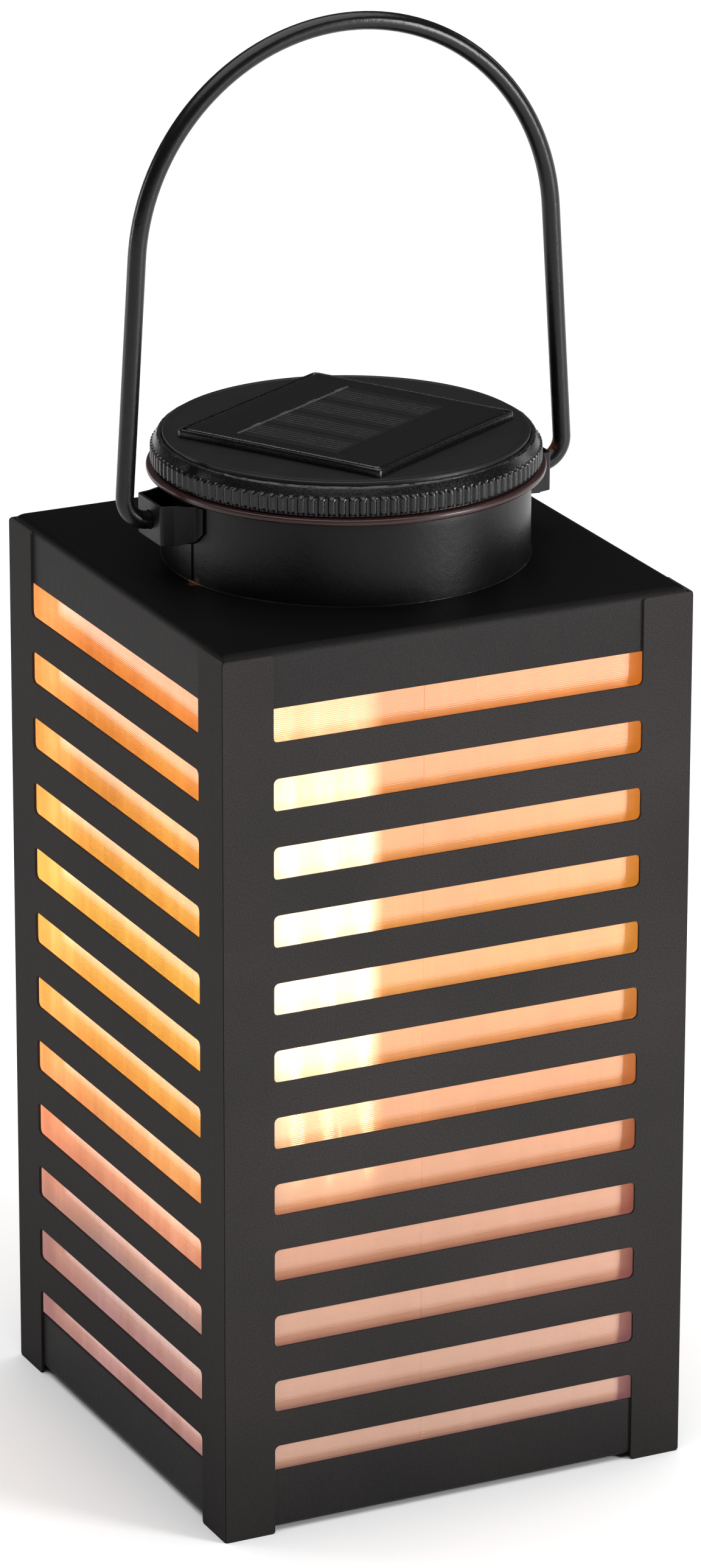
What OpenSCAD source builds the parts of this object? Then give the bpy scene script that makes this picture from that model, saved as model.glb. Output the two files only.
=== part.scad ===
// Solar lantern: a slotted sheet-metal box with a diffuser film, a lift-out lamp unit
// that sits in a welded collar, and a wire handle that swings in two ears.
// Millimetres, +Z up. The origin is the middle of the base, on the surface it stands on.
// The front face looks along -Y, and the handle's axis is along X.

/* [Body] */
// Width and depth of the square body
body_w = 140; // [120:1:170]
// Height of the body's top plate above the ground
body_h = 255; // [240:1:290]
// Thickness of the sheet metal
sheet = 0.8; // [0.6:0.1:1.2]
// Width of each corner post
post_w = 15; // [12:0.5:20]
// Outside radius of the bend round the two pans
bend_r = 2.5; // [2:0.1:3]
// How far the corner posts stand below the base pan
toe_drop = 1; // [0.5:0.1:2]
// How far the corner posts stop below the top plate
post_gap = 1.5; // [1:0.1:2]

/* [Slots] */
// Number of slots in each side
slot_count = 12; // [10:1:12]
// Height of a slot
slot_h = 9.3; // [7:0.1:10]
// Distance from one slot to the next
slot_pitch = 19.3; // [18:0.1:19.5]
// Depth of the top pan's flange, down to the first slot
cap_flange = 16.5; // [12:0.5:18]
// Height of the base pan's rim, where the last slot ends
base_flange = 18.5; // [14:0.5:20]
// Corner radius of a slot
slot_r = 1.5; // [0.5:0.1:2]

/* [Diffuser] */
// Gap between the side panels and the film
film_gap = 2.7; // [2:0.1:5]
// Thickness of the film
film_t = 0.5; // [0.3:0.1:1]

/* [Collar and ears] */
// Outside radius of the collar
collar_r = 50.5; // [50:0.1:51]
// Height of the collar above the top plate
collar_h = 23.6; // [23:0.1:25]
// Height of the handle's axis above the top plate
pivot_h = 16.5; // [16:0.1:17]
// Height of an ear
ear_h = 11; // [9:0.5:12]
// Distance from the lantern's axis to an ear's outer plate
ear_reach = 58.9; // [58:0.1:59.5]
// Width of an ear's outer plate
ear_w = 15.2; // [14:0.1:16]

/* [Handle] */
// Diameter of the handle wire
wire_d = 5; // [4:0.1:5.2]
// Radius of the handle's arch, at the wire's centre
arch_r = 62; // [61.5:0.1:63]
// Height of the arch's centre above the top plate
arch_h = 85.5; // [80:0.5:110]
// Distance from the lantern's axis to a leg at its foot
leg_x = 66; // [65.5:0.1:66.5]
// Radius of the bend at a leg's foot
foot_r = 6.9; // [6.5:0.1:7]

/* [Lamp unit] */
// Radius of the cup's clear flange
flange_r = 54.5; // [54:0.1:56]
// Thickness of the clear flange
flange_t = 1.8; // [1.5:0.1:2]
// Wall thickness of the cup
cup_wall = 2; // [1.5:0.1:2.5]
// Height of the cup's floor above the top plate
cup_floor_h = 4; // [3.5:0.1:5]
// Radius of the knurled ring over its ribs
grip_r = 53.4; // [53.2:0.1:54]
// Number of ribs round the ring
grip_ribs = 120; // [90:1:140]
// Radius of the flat disc on top
disc_r = 50.1; // [49.5:0.1:50.3]

/* [Solar panel] */
// Side of the square seat
seat_w = 66.5; // [60:0.5:68]
// Height of the seat above the disc
seat_h = 2.2; // [1.8:0.1:3]
// Turn of the seat about the vertical
seat_turn = 30; // [0:1:90]

/* [Bulb] */
// Radius of the bulb's glass tube
bulb_r = 15; // [12:0.5:15]
// Height of the middle of the bulb's round end above the ground
bulb_low = 91; // [80:1:110]
// Length of the filaments
filament_l = 105; // [60:1:112]
// Number of filaments
filament_count = 6; // [4:1:8]
// Place of the bulb to the right of the middle, or to the left if it is negative
bulb_x = -6; // [-6:0.5:6]

/* [Hidden] */

$fn = 96;
eps = 0.01;
half_w = body_w / 2;
inner_w = body_w - 2 * sheet;
window_w = body_w - 2 * post_w;
first_slot_z = body_h - cap_flange;
film_w = body_w - 2 * (sheet + film_gap);
pan_floor_z = toe_drop + sheet;

collar_in_r = collar_r - sheet;
mouth_r = collar_in_r - 0.7;
seam_angle = 189.5;
seam_w = 1.3;
weld_count = 44;
pivot_z = body_h + pivot_h;
ear_wing_a = 15.5;
ear_foot_a = 11;
pin_play = 0.05;

cup_r = collar_in_r - 0.3;
rim_z = body_h + collar_h;
flange_z = rim_z + flange_t;
floor_z = body_h + cup_floor_h;
deck_z = floor_z + cup_wall;
neck_z = rim_z + 7.4;
seal_t = 0.4;
ledge_z = neck_z + seal_t;
ledge_t = 1.2;
disc_z = ledge_z + ledge_t;
disc_t = 2;
face_z = disc_z + disc_t;
rib_depth = 0.7;
ring_low_z = flange_z + 0.2;
ring_top_z = ledge_z + 0.1;

seat_wall = 1.5;
panel_w = seat_w - 2 * seat_wall - 0.4;
board_t = 1;
cell_t = 0.3;
line_t = 0.06;
cell_count = 4;
cell_l = 33;
cell_w = 12.4;
cell_gap = 0.9;
cell_x = 1.5;
cell_y = 3;
bus_w = 0.8;
bus_y = cell_y + cell_l / 2 - 1.2;
coat_top_z = face_z + seat_h + 0.5;

holder_r = 17;
holder_h = 21;
shell_r = 13.2;
cap_top_z = floor_z - 5;
cap_l = 27;
glass_t = 0.8;
neck_in_z = cap_top_z - cap_l + 6;
tube_top_z = neck_in_z - 14;
stem_r = 1.6;
filament_ring = bulb_r - glass_t - 2.7;
filament_top_z = bulb_low + filament_l;

battery_r = 7;
battery_l = 49.6;
battery_y = 26;
battery_z = deck_z + 9.4;
cradle_l = 60;
cradle_w = 17.6;
screw_x = 28;
pcb_t = 1.6;
pcb_z = deck_z + 6;
pcb_x = 22;
pcb_back = 8;
pcb_front = -34;
switch_y = -41;
switch_slot = 8.6;
knob_w = 3.6;

// A rectangle on the XY plane with round corners.
module round_rect(w, h, r) {
    union() {
        square([w - 2 * r, h], center = true);
        square([w, h - 2 * r], center = true);
        for (x = [-1, 1], y = [-1, 1])
            translate([x * (w / 2 - r), y * (h / 2 - r)]) circle(r);
    }
}

// A round bar from one point to another.
module bar(a, b, r) {
    d = b - a;
    flat = norm([d[0], d[1]]);
    translate(a)
        rotate([0, atan2(flat, d[2]), atan2(d[1], d[0])])
            cylinder(h = norm(d), r = r);
}

// A pan's cross-section, filled: a flat web below, with both its edges rounded.
module pan_profile(w, h, r) {
    translate([-w / 2 + r, 0]) square([w - 2 * r, r]);
    translate([-w / 2, r]) square([w, h - r]);
    for (s = [-1, 1]) translate([s * (w / 2 - r), r]) circle(r);
}

// Solid block with all lower edges rounded and mitred at the corners.
module pan_block(w, h, r) {
    intersection() {
        rotate([90, 0, 0]) linear_extrude(w, center = true) pan_profile(w, h, r);
        rotate([90, 0, 90]) linear_extrude(w, center = true) pan_profile(w, h, r);
    }
}

// Folded pan, open upwards, its web at z = 0.
module pan(w, h) {
    difference() {
        pan_block(w, h, bend_r);
        translate([0, 0, sheet]) pan_block(w - 2 * sheet, h, bend_r - sheet);
    }
}

// One side: two posts joined by slats, with mitred vertical edges. Faces -Y at rest.
module side_panel() {
    color([0.05, 0.05, 0.05])
    difference() {
        linear_extrude(body_h - post_gap)
            polygon([[-half_w, -half_w], [half_w, -half_w],
                     [half_w - sheet, sheet - half_w], [sheet - half_w, sheet - half_w]]);
        for (i = [1 : slot_count - 2])
            slot(first_slot_z - i * slot_pitch - slot_h, slot_h);
        slot(first_slot_z - slot_h, cap_flange + slot_h);
        slot(-slot_h, first_slot_z - (slot_count - 1) * slot_pitch + slot_h);
    }
}

// Opening between the posts, from z upwards by h.
module slot(z, h) {
    translate([0, sheet / 2 - half_w, z + h / 2])
        rotate([90, 0, 0])
            linear_extrude(3 * sheet, center = true) round_rect(window_w, h, slot_r);
}

module panel_front() { side_panel(); }
module panel_right() { rotate([0, 0, 90]) side_panel(); }
module panel_back() { rotate([0, 0, 180]) side_panel(); }
module panel_left() { rotate([0, 0, 270]) side_panel(); }

module top_cap() {
    color([0.06, 0.055, 0.05])
    difference() {
        translate([0, 0, body_h]) mirror([0, 0, 1]) pan(inner_w, cap_flange);
        translate([0, 0, body_h - 2 * sheet]) cylinder(h = 3 * sheet, r = mouth_r, $fn = 180);
    }
}

module base_pan() {
    color([0.06, 0.055, 0.05])
    translate([0, 0, toe_drop]) pan(inner_w, base_flange - toe_drop);
}

module diffuser_sleeve() {
    color([1, 0.78, 0.6])
    translate([0, 0, pan_floor_z])
        linear_extrude(body_h - sheet - pan_floor_z - 1)
            difference() {
                round_rect(film_w, film_w, 3);
                round_rect(film_w - 2 * film_t, film_w - 2 * film_t, 3 - film_t);
            }
}

module collar() {
    color([0.07, 0.065, 0.06])
    translate([0, 0, body_h])
        difference() {
            cylinder(h = collar_h, r = collar_r, $fn = 180);
            translate([0, 0, -eps])
                cylinder(h = collar_h + 2 * eps, r = collar_in_r, $fn = 180);
            rotate([0, 0, seam_angle])
                translate([collar_r - sheet / 2, -seam_w / 2, -eps])
                    cube([sheet, seam_w, collar_h + 2 * eps]);
        }
}

// Row of small welds round the collar's foot.
module collar_weld() {
    color([0.12, 0.1, 0.09])
    for (i = [0 : weld_count - 1])
        rotate([0, 0, (i + 0.5) * 360 / weld_count])
            translate([collar_r, 0, body_h])
                intersection() {
                    sphere(r = 0.9, $fn = 24);
                    translate([0.02, -1, 0.02]) cube([2, 2, 2]);
                }
}

// Hat section of an ear in plan: an outer plate and two slanting walls.
module ear_hat() {
    y = ear_w / 2;
    foot = [for (r = [collar_r + sheet, collar_r - 0.3], d = [1, -1])
            let (a = ear_foot_a - (r > collar_r ? 0 : 0.9)) r * [cos(a), d * sin(a)]];
    polygon([foot[0], [ear_reach, y], [ear_reach, -y], foot[1], foot[3],
             [ear_reach - sheet, sheet - y], [ear_reach - sheet, y - sheet], foot[2]]);
}

// Ear on the +X side: the hat section, two wings on the collar and the handle's bore.
module ear() {
    difference() {
        translate([0, 0, pivot_z - ear_h / 2]) {
            linear_extrude(ear_h) ear_hat();
            for (s = [1, -1])
                rotate([0, 0, s > 0 ? ear_foot_a - 0.8 : -ear_wing_a])
                    rotate_extrude(angle = ear_wing_a - ear_foot_a + 0.8, $fn = 180)
                        translate([collar_r - 0.2, 0]) square([sheet + 0.2, ear_h]);
        }
        translate([0, 0, body_h]) cylinder(h = collar_h, r = collar_r, $fn = 180);
        translate([ear_reach - 2 * sheet, 0, pivot_z]) rotate([0, 90, 0])
            cylinder(h = 3 * sheet, r = wire_d / 2 + pin_play, $fn = 48);
    }
}

module ear_left() { color([0.08, 0.075, 0.07]) rotate([0, 0, 180]) ear(); }
module ear_right() { color([0.08, 0.075, 0.07]) ear(); }

// Bent wire: an arch, two legs that touch it and the foot bends, and two headed pins.
// The straight lengths run on a little over the ends of the bends, which are a hair thinner.
module handle() {
    r = wire_d / 2;
    bent_r = r - 0.05;
    lap = 0.4;
    arch_c = [0, body_h + arch_h];
    foot_c = [leg_x - foot_r, pivot_z + foot_r];
    gap = foot_c - arch_c;
    lean = atan2(gap[1], gap[0]) + acos((arch_r - foot_r) / norm(gap));
    out = [cos(lean), sin(lean)];
    up = [-sin(lean), cos(lean)];
    leg_top = arch_c + arch_r * out + lap * up;
    leg_foot = foot_c + foot_r * out - lap * up;
    tip_x = ear_reach - sheet - 3.4;
    color([0.06, 0.055, 0.05]) {
        translate([0, 0, arch_c[1]]) rotate([90, 0, 0]) rotate([0, 0, lean])
            rotate_extrude(angle = 180 - 2 * lean, $fn = 180)
                translate([arch_r, 0]) circle(bent_r, $fn = 32);
        for (s = [0, 1]) mirror([s, 0, 0]) {
            bar([leg_foot[0], 0, leg_foot[1]], [leg_top[0], 0, leg_top[1]], r);
            translate([foot_c[0], 0, foot_c[1]]) rotate([90, 0, 0]) rotate([0, 0, -90])
                rotate_extrude(angle = 90 + lean) translate([foot_r, 0]) circle(bent_r, $fn = 32);
            translate([tip_x, 0, pivot_z]) rotate([0, 90, 0]) {
                cylinder(h = foot_c[0] + lap - tip_x, r = r);
                cylinder(h = 2.4, r = r + 1);
            }
        }
    }
}

// Clear cup: wall, floor, outside flange and four posts under the circuit board.
module lamp_cup() {
    color([0.75, 0.66, 0.66])
    difference() {
        union() {
            translate([0, 0, floor_z]) cylinder(h = neck_z - floor_z, r = cup_r, $fn = 180);
            translate([0, 0, rim_z]) cylinder(h = flange_t, r = flange_r, $fn = 180);
        }
        difference() {
            translate([0, 0, deck_z]) cylinder(h = 60, r = cup_r - cup_wall, $fn = 180);
            for (x = [-1, 1], y = [pcb_front + 3, pcb_back - 3])
                translate([x * (pcb_x - 3), y, deck_z]) cylinder(h = pcb_z - deck_z, r = 2.5);
        }
        translate([bulb_x, 0, floor_z - 1]) cylinder(h = 2 * cup_wall, r = 2.5);
        translate([-24, battery_y - 6, floor_z - 1]) cube([48, 12, 2 * cup_wall]);
        translate([-switch_slot / 2, switch_y - 2.2, floor_z - 1])
            cube([switch_slot, 4.4, 2 * cup_wall]);
        for (x = [-1, 1]) translate([x * screw_x, battery_y, floor_z - 1])
            cylinder(h = 2 * cup_wall, r = 1.2);
    }
}

// Knurled ring that turns on the cup's neck and carries the disc.
module screw_ring() {
    color([0.05, 0.05, 0.05]) {
        translate([0, 0, ring_low_z]) linear_extrude(0.6)
            difference() {
                circle(grip_r - rib_depth + 0.2, $fn = 180);
                circle(cup_r + 0.3, $fn = 180);
            }
        translate([0, 0, ring_low_z + 0.6]) linear_extrude(ring_top_z - ring_low_z - 0.8)
            difference() {
                polygon([for (i = [0 : grip_ribs - 1], k = [0 : 3])
                    let (a = (i + [-0.32, -0.18, 0.18, 0.32][k]) * 360 / grip_ribs,
                         r = grip_r - (k == 0 || k == 3 ? rib_depth : 0))
                    [r * cos(a), r * sin(a)]]);
                circle(cup_r + 0.3, $fn = 180);
            }
        rotate_extrude($fn = 180)
            polygon([[cup_r - cup_wall - 2, ledge_z], [cup_r + 0.3, ledge_z],
                     [cup_r + 0.3, ring_top_z - 0.2], [grip_r - 0.5, ring_top_z - 0.2],
                     [grip_r - 0.9, ring_top_z + 0.7], [disc_r + 1.2, disc_z + 1],
                     [disc_r + 0.7, disc_z + 1], [disc_r + 0.7, disc_z],
                     [cup_r - cup_wall - 2, disc_z]]);
    }
}

// Bead of sealant between the disc and the ring.
module disc_sealant() {
    color([0.15, 0.14, 0.13])
    translate([0, 0, disc_z]) linear_extrude(0.9)
        difference() {
            circle(disc_r + 0.7, $fn = 180);
            circle(disc_r, $fn = 180);
        }
}

// Flat disc with the square seat of the solar panel.
module cap_disc() {
    inner = seat_w - 2 * seat_wall;
    color([0.05, 0.05, 0.05])
    difference() {
        union() {
            translate([0, 0, disc_z]) cylinder(h = disc_t, r = disc_r, $fn = 180);
            rotate([0, 0, seat_turn]) translate([0, 0, face_z - eps])
                linear_extrude(seat_h + eps) round_rect(seat_w, seat_w, 1);
        }
        rotate([0, 0, seat_turn]) translate([-inner / 2, -inner / 2, face_z])
            cube([inner, inner, 2 * seat_h]);
        translate([0, 0, disc_z - 1]) cylinder(h = 2 * disc_t, r = 3);
    }
}

module lid_seal() {
    color([0.2, 0.2, 0.2])
    translate([0, 0, neck_z]) difference() {
        cylinder(h = seal_t, r = cup_r - 0.1, $fn = 180);
        translate([0, 0, -1]) cylinder(h = 3, r = cup_r - cup_wall + 0.1, $fn = 180);
    }
}

module solar_board() {
    color([0.08, 0.08, 0.1])
    rotate([0, 0, seat_turn]) translate([0, 0, face_z + board_t / 2])
        cube([panel_w, panel_w, board_t], center = true);
}

// Cells side by side along X, each one a strip along Y.
module cell_rows(w, l, h) {
    rotate([0, 0, seat_turn]) translate([cell_x, cell_y, face_z + board_t])
        for (i = [0 : cell_count - 1])
            translate([(i - (cell_count - 1) / 2) * (cell_w + cell_gap) - w / 2, -l / 2, 0])
                cube([w, l, h]);
}

module solar_cells() { color([0.05, 0.05, 0.09]) cell_rows(cell_w, cell_l, cell_t); }

// Silver bar across the back of each cell, and the thin lines that run forward from it.
module solar_grid() {
    color("silver")
    rotate([0, 0, seat_turn]) translate([cell_x, 0, face_z + board_t + cell_t])
        for (i = [0 : cell_count - 1])
            translate([(i - (cell_count - 1) / 2) * (cell_w + cell_gap), 0, 0]) {
                translate([-cell_w / 2 + 0.5, bus_y, 0]) cube([cell_w - 1, bus_w, line_t]);
                for (k = [-2 : 2]) translate([k * 1.5 - 0.1, cell_y - cell_l / 2 + 1, 0])
                    cube([0.2, bus_y + 0.1 - cell_y + cell_l / 2 - 1, line_t]);
            }
}

// Clear cast coat over the board, with room for the cells and their lines.
module solar_coat() {
    z = face_z + board_t;
    color([0.1, 0.1, 0.12, 0.4])
    difference() {
        rotate([0, 0, seat_turn]) translate([0, 0, z])
            linear_extrude(coat_top_z - z) round_rect(panel_w, panel_w, 1);
        cell_rows(cell_w, cell_l, cell_t + line_t);
    }
}

// Two wires from the panel down to the board's socket, on the axis of the lid.
module panel_leads() {
    color([0.6, 0.05, 0.05])
    for (s = [-1, 1]) translate([s * 1.2, 0, pcb_z + pcb_t + 5.3])
        cylinder(h = face_z - pcb_z - pcb_t - 5.3, r = 0.6, $fn = 24);
}

// Socket under the cup that holds the bulb's cap.
module bulb_holder() {
    color([0.9, 0.89, 0.86])
    translate([bulb_x, 0, floor_z - holder_h]) difference() {
        cylinder(h = holder_h, r = holder_r);
        translate([0, 0, -1]) cylinder(h = holder_h - 4, r = shell_r + 0.6);
        cylinder(h = holder_h + 1, r = 2.5);
    }
}

// Screw shell of the bulb, with its rolled thread, insulator and contact.
module bulb_cap() {
    color([0.8, 0.68, 0.4])
    translate([bulb_x, 0, 0]) difference() {
        union() {
            translate([0, 0, cap_top_z - cap_l]) cylinder(h = cap_l - 4, r = shell_r - 0.4);
            translate([0, 0, cap_top_z - 4]) cylinder(h = 4, r1 = shell_r - 0.4, r2 = 6);
            for (i = [0 : 4]) translate([0, 0, cap_top_z - 7 - i * 3.6])
                rotate_extrude() translate([shell_r - 0.8, 0]) circle(0.8, $fn = 24);
        }
        translate([0, 0, cap_top_z - cap_l - 1]) cylinder(h = cap_l - 4, r = shell_r - 1.2);
        translate([0, 0, cap_top_z - 8]) cylinder(h = 10, r = 2.2);
    }
}

// Outside of the bulb's glass, or its inside when it is smaller by inset.
module bulb_form(inset) {
    r = bulb_r - inset;
    translate([0, 0, bulb_low]) sphere(r);
    translate([0, 0, bulb_low]) cylinder(h = tube_top_z - bulb_low, r = r);
    translate([0, 0, tube_top_z]) cylinder(h = 8, r1 = r, r2 = shell_r - 1.3 - inset);
    translate([0, 0, tube_top_z + 8 - eps])
        cylinder(h = neck_in_z - tube_top_z - 8 + inset + eps, r = shell_r - 1.3 - inset);
}

module bulb_glass() {
    color([1, 0.95, 0.85, 0.3])
    translate([bulb_x, 0, 0]) difference() {
        bulb_form(0);
        bulb_form(glass_t);
    }
}

// Pressed glass stem that carries the cage of filaments.
module filament_stem() {
    color([0.9, 0.95, 0.95, 0.5])
    translate([bulb_x, 0, 0]) {
        translate([0, 0, neck_in_z - 24]) cylinder(h = 18, r1 = 3, r2 = 5);
        translate([0, 0, neck_in_z - 6]) cylinder(h = 6, r1 = 5, r2 = shell_r - 1.3 - glass_t);
        translate([0, 0, bulb_low - 2]) cylinder(h = neck_in_z - 22 - bulb_low, r = stem_r);
    }
}

module filaments() {
    color([1, 0.75, 0.3])
    translate([bulb_x, 0, bulb_low])
        for (i = [0 : filament_count - 1]) rotate([0, 0, i * 360 / filament_count + 4])
            translate([filament_ring, 0, 0]) cylinder(h = filament_l, r = 0.9, $fn = 24);
}

// Star of wires at each end of the cage.
module filament_wires() {
    color("silver")
    translate([bulb_x, 0, 0])
        for (i = [0 : filament_count - 1], z = [bulb_low + 0.6, filament_top_z - 0.6])
            rotate([0, 0, i * 360 / filament_count + 4])
                translate([stem_r, 0, z]) rotate([0, 90, 0])
                    cylinder(h = filament_ring - stem_r - 0.9, r = 0.35, $fn = 16);
}

// Two wires from the board, down through the floor to the bulb's cap.
module bulb_leads() {
    color([0.85, 0.1, 0.08])
    for (s = [-1, 1])
        translate([bulb_x + s * 1.1, 0, cap_top_z - 3])
            cylinder(h = pcb_z - cap_top_z + 3, r = 0.6, $fn = 24);
}

// Round cell lying along X, with its raised pole.
module battery() {
    color([0.2, 0.5, 0.3])
    translate([-battery_l / 2, battery_y, battery_z]) rotate([0, 90, 0]) {
        cylinder(h = battery_l - 1.4, r = battery_r);
        cylinder(h = battery_l, r = 2.7);
    }
}

// Trough that carries the battery between two end walls.
module battery_cradle() {
    color([0.12, 0.12, 0.12])
    difference() {
        translate([-cradle_l / 2, battery_y - cradle_w / 2, deck_z])
            cube([cradle_l, cradle_w, 12]);
        translate([-cradle_l / 2 + 1.6, battery_y, battery_z]) rotate([0, 90, 0])
            cylinder(h = cradle_l - 3.2, r = battery_r + 0.3);
        translate([-cradle_l / 2 + 1.6, battery_y - battery_r - 0.3, battery_z])
            cube([cradle_l - 3.2, 2 * battery_r + 0.6, 20]);
        translate([-24, battery_y - 6, deck_z - 1]) cube([48, 12, 6]);
        for (x = [-1, 1]) translate([x * screw_x, battery_y, deck_z - 1])
            cylinder(h = 3, r = 1.2);
    }
}

// Coil that presses the battery against the far contact.
module battery_spring() {
    coil_x = -cradle_l / 2 + 1.6;
    color("silver")
    for (i = [0 : 3]) translate([coil_x + 0.5 + i * 0.86, battery_y, battery_z])
        rotate([0, 90, 0]) rotate_extrude($fn = 48)
            translate([5 - i * 0.3, 0]) circle(0.5, $fn = 16);
}

module battery_plate() {
    gap = cradle_l / 2 - 1.6 - battery_l / 2;
    color("silver")
    translate([cradle_l / 2 - 1.6 - 0.5, battery_y - 5, battery_z - 5]) cube([0.5, 10, 10]);
    color("silver")
    translate([battery_l / 2, battery_y - 2, battery_z - 2]) cube([gap - 0.5, 4, 4]);
}

// Door under the battery, held by two screws.
module battery_door() {
    color([0.1, 0.1, 0.1])
    difference() {
        translate([0, battery_y, floor_z - 2]) linear_extrude(2) round_rect(62, 16, 2);
        for (x = [-1, 1]) translate([x * screw_x, battery_y, floor_z - 3])
            cylinder(h = 4, r = 1.25);
    }
}

module door_screws() {
    color("silver")
    for (x = [-1, 1]) translate([x * screw_x, battery_y, floor_z - 3.2]) difference() {
        union() {
            cylinder(h = 1.2, r = 2.4, $fn = 32);
            cylinder(h = 6.8, r = 1.2, $fn = 32);
        }
        for (a = [0, 90]) rotate([0, 0, a]) translate([-1.4, -0.25, -1]) cube([2.8, 0.5, 1.6]);
    }
}

module circuit_board() {
    color([0.1, 0.35, 0.2])
    translate([-pcb_x, pcb_front, pcb_z]) cube([2 * pcb_x, pcb_back - pcb_front, pcb_t]);
}

// Chip, choke, two capacitors, a socket for the panel and a charge diode.
module board_parts() {
    z = pcb_z + pcb_t;
    color([0.1, 0.1, 0.1]) {
        translate([-3, -2.5, z]) cube([6, 5, 5]);
        translate([-12, -18, z]) cube([5, 6, 1.7]);
        translate([4, -24, z]) cylinder(h = 5, r = 4);
        translate([14, -10, z]) cylinder(h = 8, r = 3);
        translate([14, -18, z]) cylinder(h = 8, r = 3);
        translate([-18, -26, z + 1.4]) rotate([0, 90, 0]) cylinder(h = 5, r = 1.4, $fn = 32);
    }
}

// Slide switch inside the cup, over the slot in its floor.
module switch_body() {
    color([0.75, 0.75, 0.78])
    difference() {
        translate([-6.5, switch_y - 3.4, deck_z]) cube([13, 6.8, 4.6]);
        translate([-switch_slot / 2, switch_y - 2.2, deck_z - 1]) cube([switch_slot, 4.4, 3.2]);
    }
}

// Knob of the switch, at its lit end.
module switch_knob() {
    x = switch_slot / 2 - 0.5 - knob_w;
    color([0.95, 0.95, 0.95])
    translate([x, switch_y - 1.8, floor_z - 1.8]) cube([knob_w, 3.6, cup_wall + 3.6]);
}

panel_front();
panel_right();
panel_back();
panel_left();
top_cap();
base_pan();
diffuser_sleeve();
collar();
collar_weld();
ear_left();
ear_right();
handle();
lamp_cup();
screw_ring();
cap_disc();
disc_sealant();
lid_seal();
solar_board();
solar_cells();
solar_grid();
solar_coat();
panel_leads();
bulb_holder();
bulb_cap();
bulb_glass();
filament_stem();
filaments();
filament_wires();
bulb_leads();
battery();
battery_cradle();
battery_spring();
battery_plate();
battery_door();
door_screws();
circuit_board();
board_parts();
switch_body();
switch_knob();
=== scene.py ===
"""Solar lantern: the looks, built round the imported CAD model, in metres."""
import math

import bmesh
import bpy
import numpy as np
from mathutils import Matrix, Vector, noise


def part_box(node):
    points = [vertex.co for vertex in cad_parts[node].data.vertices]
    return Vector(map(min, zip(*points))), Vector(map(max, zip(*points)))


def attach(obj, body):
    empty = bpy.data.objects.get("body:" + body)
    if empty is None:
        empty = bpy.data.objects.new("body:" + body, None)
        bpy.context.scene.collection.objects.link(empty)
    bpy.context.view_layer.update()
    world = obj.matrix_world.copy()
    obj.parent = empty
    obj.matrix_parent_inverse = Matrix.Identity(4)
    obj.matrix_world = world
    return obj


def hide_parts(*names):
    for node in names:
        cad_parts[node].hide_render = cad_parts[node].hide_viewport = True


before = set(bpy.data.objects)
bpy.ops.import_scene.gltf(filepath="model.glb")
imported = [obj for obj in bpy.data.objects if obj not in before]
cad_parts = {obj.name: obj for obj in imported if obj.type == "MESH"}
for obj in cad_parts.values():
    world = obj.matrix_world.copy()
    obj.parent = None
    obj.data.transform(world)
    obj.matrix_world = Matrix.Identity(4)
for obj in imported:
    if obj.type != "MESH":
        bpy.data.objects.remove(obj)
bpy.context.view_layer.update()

MM = 0.001
TURN = 2 * math.pi
SHARP = math.radians(38)


# ---------------------------------------------------------------- measures from the frame

def mid(node):
    """Middle of a CAD node's box."""
    lo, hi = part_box(node)
    return (lo + hi) / 2


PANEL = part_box("panel_front")
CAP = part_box("top_cap")
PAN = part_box("base_pan")
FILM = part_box("diffuser_sleeve")
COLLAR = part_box("collar")
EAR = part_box("ear_right")
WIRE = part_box("handle")
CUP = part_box("lamp_cup")
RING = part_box("screw_ring")
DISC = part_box("cap_disc")
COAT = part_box("solar_coat")
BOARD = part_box("solar_board")
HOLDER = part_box("bulb_holder")
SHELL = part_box("bulb_cap")
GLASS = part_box("bulb_glass")
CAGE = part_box("filaments")

HALF = PANEL[1].x
SHEET = PANEL[1].y - PANEL[0].y
PLATE_Z = CAP[1].z
COLLAR_R = COLLAR[1].x
PIVOT_Z = (EAR[0].z + EAR[1].z) / 2
SEAT_TURN = math.radians(30)


# ---------------------------------------------------------------- mesh helpers

def rest_on(obj, body, material, replaced):
    """Give a piece its material, body and slot, and hide the CAD nodes it stands for."""
    obj.data.materials.clear()
    obj.data.materials.append(material)
    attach(obj, body)
    if replaced:
        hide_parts(*replaced)


def mesh_object(name, verts, faces, sharp=SHARP):
    """A mesh object from lists, with outward normals and smooth shading between sharp edges."""
    mesh = bpy.data.meshes.new(name)
    mesh.from_pydata([tuple(v) for v in verts], [], [tuple(f) for f in faces])
    bm = bmesh.new()
    bm.from_mesh(mesh)
    bmesh.ops.recalc_face_normals(bm, faces=bm.faces)
    bm.to_mesh(mesh)
    bm.free()
    return finished_object(name, mesh, sharp)


def finished_object(name, mesh, sharp=SHARP):
    """The mesh as an object in the scene, smooth between its sharp edges."""
    mesh.shade_smooth()
    mesh.set_sharp_from_angle(angle=sharp)
    obj = bpy.data.objects.new(name, mesh)
    bpy.context.scene.collection.objects.link(obj)
    return obj


def stack(name, loops, closed=False, capped=False, sharp=SHARP):
    """Quads between loops of equal length. closed joins the last loop to the first."""
    n = len(loops[0])
    verts = [v for loop in loops for v in loop]
    faces = []
    count = len(loops)
    for i in range(count if closed else count - 1):
        a, b = i * n, ((i + 1) % count) * n
        for k in range(n):
            faces.append((a + k, a + (k + 1) % n, b + (k + 1) % n, b + k))
    if capped:
        faces.append(tuple(range(n - 1, -1, -1)))
        faces.append(tuple(range((count - 1) * n, count * n)))
    return mesh_object(name, verts, faces, sharp)


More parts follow.
